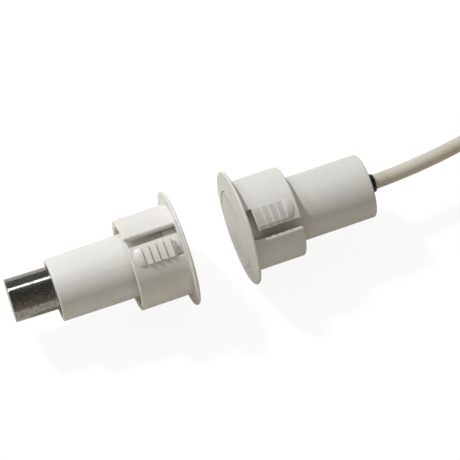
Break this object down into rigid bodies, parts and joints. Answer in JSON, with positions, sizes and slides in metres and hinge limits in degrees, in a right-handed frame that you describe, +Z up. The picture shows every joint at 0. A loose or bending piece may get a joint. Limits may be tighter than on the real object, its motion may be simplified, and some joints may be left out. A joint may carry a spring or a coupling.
{
  "type": "recessed magnetic contact",
  "caption": "Recessed magnetic contact in two facing halves: magnet and reed switch barrels in flanged, barbed snap-in collars, with its cable folded in a hank.",
  "frame": {"origin": "on the common axis, in the plane where the switch half's flange seats on the face of its hole", "axes": "+X along the common axis, from the magnet half to the cable; +Z up; the halves face each other as when installed"},
  "size_m": [0.1908, 0.0374, 0.0254],
  "materials": {
    "grey_plastic": "moulded light warm grey plastic, fine satin",
    "grey_barrel": "moulded light grey plastic, fine satin",
    "ivory_plastic": "moulded ivory plastic, fine satin",
    "ivory_tube": "moulded ivory plastic, fine satin",
    "nickel": "bright nickel plate with fine drawn lines",
    "clear_glue": "clear yellowish adhesive",
    "black_potting": "black casting compound",
    "capsule_glass": "clear greenish glass",
    "reed_metal": "plated reed metal",
    "core_red": "red core insulation",
    "core_black": "black core insulation",
    "core_green": "green core insulation",
    "core_white": "white core insulation",
    "solder": "bright solder",
    "cable_sheath": "smooth beige cable sheath",
    "tie_white": "white plastic band"
  },
  "bodies": {
    "root": {"switch_sleeve": "grey_plastic", "switch_barrel": "grey_barrel", "magnet_sleeve": "ivory_plastic", "magnet_tube": "ivory_tube", "magnet_rod": "nickel", "magnet_glue": "clear_glue", "potting": "black_potting", "reed_glass": "capsule_glass", "reed_front": "reed_metal", "reed_rear": "reed_metal", "core_front": "core_red", "core_rear": "core_black", "core_loop_out": "core_green", "core_loop_back": "core_white", "solder_front": "solder", "solder_rear": "solder", "solder_loop": "solder", "cable_tube": "cable_sheath", "cable_hank": "cable_sheath", "cable_tail": "cable_sheath", "hank_tie": "tie_white", "end_core_1": "core_red", "end_core_2": "core_black", "end_core_3": "core_green", "end_core_4": "core_white"}
  },
  "joints": []
}
